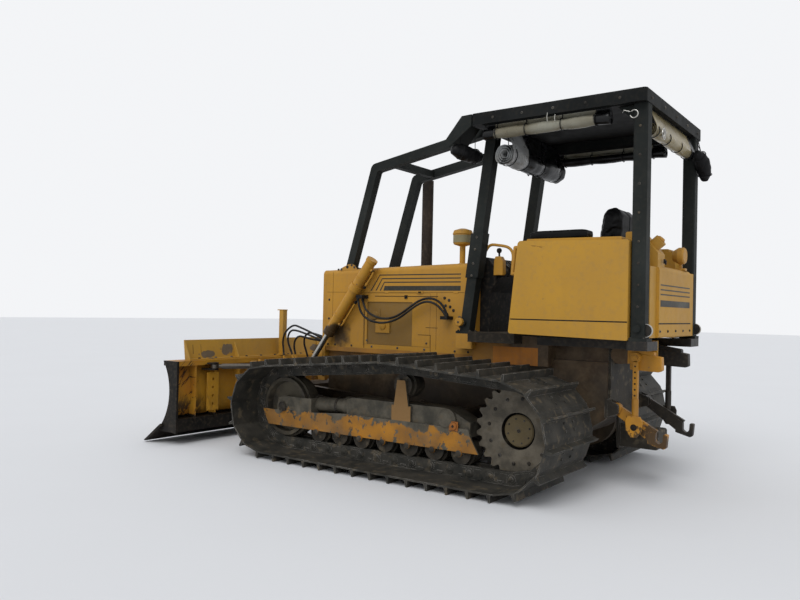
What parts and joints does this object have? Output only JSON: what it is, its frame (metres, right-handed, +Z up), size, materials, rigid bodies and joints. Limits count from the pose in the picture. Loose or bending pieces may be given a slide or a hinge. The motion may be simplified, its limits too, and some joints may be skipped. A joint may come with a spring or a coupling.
{
  "type": "crawler bulldozer",
  "caption": "Crawler bulldozer with wide tracks, a six-way angling blade, an open canopy with limb risers, rolled-up curtains and a rear three-point hitch.",
  "frame": {"origin": "on the ground under the middle of the machine's whole length, on its centre plane", "axes": "+X forward to the blade, +Y to the machine's left, +Z up"},
  "size_m": [4.5393, 2.9, 2.8506],
  "materials": {
    "black_paint": "matt black",
    "canopy_paint": "dull dark grey-green enamel",
    "curtain": "clear sheet, rolled up",
    "hose_rubber": "matt",
    "rod_chrome": "polished",
    "seat_vinyl": "black vinyl",
    "undercarriage": "worn steel under dried mud",
    "yellow_paint": "faded ochre enamel, scratched and dusty"
  },
  "bodies": {
    "chassis": {"hull": "undercarriage", "canopy_brackets": "yellow_paint", "equalizer_bar": "undercarriage", "engine": "black_paint", "hood": "yellow_paint", "side_panels": "yellow_paint", "grille": "yellow_paint", "exhaust_stack": "black_paint", "air_precleaner": "yellow_paint", "operator_deck": "black_paint", "dashboard": "yellow_paint", "control_levers": "black_paint", "fenders": "yellow_paint", "fuel_tank": "yellow_paint", "seat_cushion": "seat_vinyl", "seat_back": "seat_vinyl", "armrests": "seat_vinyl", "grab_rails": "yellow_paint", "work_lamp": "yellow_paint", "canopy_roof": "canopy_paint", "canopy_posts": "canopy_paint", "sweeps": "canopy_paint", "side_curtains": "curtain", "rear_curtain": "curtain", "front_curtain": "curtain", "track_left": "undercarriage", "track_right": "undercarriage", "track_frames": "undercarriage", "sprockets": "undercarriage", "idlers": "undercarriage", "track_rollers": "undercarriage", "rear_hitch": "black_paint", "hose_fittings": "black_paint", "hose_left_upper": "hose_rubber", "hose_left_lower": "hose_rubber", "hose_right_upper": "hose_rubber", "hose_right_lower": "hose_rubber", "hose_front_1": "hose_rubber", "hose_front_2": "hose_rubber", "hose_front_3": "hose_rubber", "hose_front_4": "hose_rubber"},
    "push_frame": {"push_frame": "yellow_paint", "hose_manifold": "yellow_paint"},
    "blade_yoke": {"blade_yoke": "yellow_paint"},
    "blade": {"blade": "yellow_paint", "blade_extension": "yellow_paint", "blade_mast": "yellow_paint", "kingpin_block": "yellow_paint", "blade_ears": "yellow_paint"},
    "lift_barrels": {"lift_barrels": "yellow_paint"},
    "lift_rods": {"lift_rods": "rod_chrome"},
    "angle_barrel_left": {"angle_barrel_left": "yellow_paint"},
    "angle_rod_left": {"angle_rod_left": "rod_chrome"},
    "angle_barrel_right": {"angle_barrel_right": "yellow_paint"},
    "angle_rod_right": {"angle_rod_right": "rod_chrome"},
    "tilt_barrel": {"tilt_barrel": "yellow_paint"},
    "tilt_rod": {"tilt_rod": "rod_chrome"},
    "hitch_arms": {"hitch_arms": "yellow_paint"},
    "lift_links": {"lift_links": "yellow_paint"},
    "lower_links": {"lower_links": "yellow_paint"}
  },
  "joints": [
    {"name": "blade_lift", "type": "hinge", "parent": "chassis", "child": "push_frame", "pos_m": [-0.16, 0, 0.43], "axis": [0, -1, 0], "range_deg": [-10, 20], "deforming": ["hose_front_1", "hose_front_2", "hose_front_3", "hose_front_4"]},
    {"name": "blade_tilt", "type": "hinge", "parent": "push_frame", "child": "blade_yoke", "pos_m": [1.34, 0, 0.48], "axis": [1, 0, 0], "range_deg": [-8, 8]},
    {"name": "blade_angle", "type": "hinge", "parent": "blade_yoke", "child": "blade", "pos_m": [1.74, 0, 0.48], "axis": [0, 0, 1], "range_deg": [-22, 22]},
    {"name": "lift_barrel_pivot", "type": "hinge", "parent": "chassis", "child": "lift_barrels", "pos_m": [0.53, 0, 1.49], "axis": [0, -1, 0], "range_deg": [-7.61, 14.23]},
    {"name": "lift_rod_slide", "type": "slide", "parent": "lift_barrels", "child": "lift_rods", "axis": [0.5958, 0, -0.8031], "range_m": [-0.4269, 0.2154]},
    {"name": "angle_barrel_left_pivot", "type": "hinge", "parent": "blade_yoke", "child": "angle_barrel_left", "pos_m": [1.3, 0.285, 0.715], "axis": [0, 0, 1], "range_deg": [-22.72, 22.72]},
    {"name": "angle_rod_left_slide", "type": "slide", "parent": "angle_barrel_left", "child": "angle_rod_left", "axis": [0.5845, 0.8114, 0], "range_m": [-0.201, 0.201]},
    {"name": "angle_barrel_right_pivot", "type": "hinge", "parent": "blade_yoke", "child": "angle_barrel_right", "pos_m": [1.3, -0.285, 0.715], "axis": [0, 0, 1], "range_deg": [-22.72, 22.72]},
    {"name": "angle_rod_right_slide", "type": "slide", "parent": "angle_barrel_right", "child": "angle_rod_right", "axis": [0.5845, -0.8114, 0], "range_m": [-0.201, 0.201]},
    {"name": "tilt_barrel_pivot", "type": "hinge", "parent": "push_frame", "child": "tilt_barrel", "pos_m": [1.34, -0.33, 0.3], "axis": [1, 0, 0], "range_deg": [-2.55, 2.55]},
    {"name": "tilt_rod_slide", "type": "slide", "parent": "tilt_barrel", "child": "tilt_rod", "axis": [0, 0, 1], "range_m": [-0.048, 0.048]},
    {"name": "hitch_lift", "type": "hinge", "parent": "chassis", "child": "hitch_arms", "pos_m": [-1.922, 0, 1], "axis": [0, 1, 0], "range_deg": [-25, 20]},
    {"name": "lift_link_swing", "type": "hinge", "parent": "hitch_arms", "child": "lift_links", "pos_m": [-2.05, 0, 0.988], "axis": [0, 1, 0], "range_deg": [-17.98, 22.22]},
    {"name": "lower_link_swing", "type": "hinge", "parent": "chassis", "child": "lower_links", "pos_m": [-1.894, 0, 0.6], "axis": [0, 1, 0], "range_deg": [-22.12, 17.89]}
  ],
  "couplings": [
    {"joint": "lift_barrel_pivot", "follows": "blade_lift", "ratio": 0.6613},
    {"joint": "lift_rod_slide", "follows": "blade_lift", "m_per_rad": -1.2114},
    {"joint": "angle_barrel_left_pivot", "follows": "blade_angle", "ratio": 0.9874},
    {"joint": "angle_rod_left_slide", "follows": "blade_angle", "m_per_rad": -0.5157},
    {"joint": "angle_barrel_right_pivot", "follows": "blade_angle", "ratio": 0.9874},
    {"joint": "angle_rod_right_slide", "follows": "blade_angle", "m_per_rad": 0.5157},
    {"joint": "tilt_barrel_pivot", "follows": "blade_tilt", "ratio": 0.2563},
    {"joint": "tilt_rod_slide", "follows": "blade_tilt", "m_per_rad": -0.3297},
    {"joint": "lift_link_swing", "follows": "hitch_lift", "ratio": -0.8488},
    {"joint": "lower_link_swing", "follows": "hitch_lift", "ratio": 0.8447}
  ]
}
